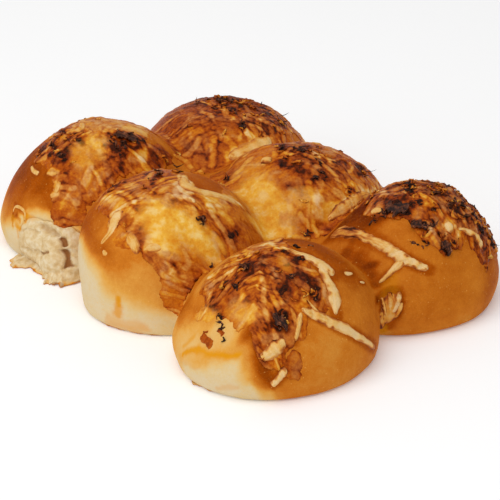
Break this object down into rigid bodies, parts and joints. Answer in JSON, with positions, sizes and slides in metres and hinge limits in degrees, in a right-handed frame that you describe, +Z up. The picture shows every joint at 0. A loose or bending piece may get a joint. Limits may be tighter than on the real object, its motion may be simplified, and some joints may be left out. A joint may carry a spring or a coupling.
{
  "type": "batch of cheese rolls",
  "caption": "Batch of soft bread rolls baked touching, topped with melted cheese and charred onion, torn along one side.",
  "frame": {"origin": "middle of the flat base, on the surface that the bread stands on", "axes": "+X along the rows of three rolls, towards the rolls at the front and right of the picture; +Y across the two rows, away from the torn side; +Z up"},
  "size_m": [0.2098, 0.1452, 0.0496],
  "materials": {
    "crust": "baked bread crust, golden to brown, with pale sides where rolls touched",
    "cheese": "melted and browned cheese, slightly oily",
    "onion": "charred onion, dry and dark"
  },
  "bodies": {
    "root": {"rolls": "crust", "cheese_right_long": "cheese", "cheese_right_branch": "cheese", "cheese_right_low": "cheese", "cheese_right_far": "cheese", "cheese_front_long": "cheese", "cheese_front_arc": "cheese", "cheese_front_tail": "cheese", "cheese_front_lump": "cheese", "cheese_front_stub": "cheese", "cheese_middle_hook": "cheese", "cheese_middle_lump": "cheese", "cheese_middle_ridge": "cheese", "cheese_back_valley": "cheese", "onion_right_top": "onion", "onion_right_middle": "onion", "onion_right_side": "onion", "onion_front_middle": "onion", "onion_left_top": "onion"}
  },
  "joints": []
}
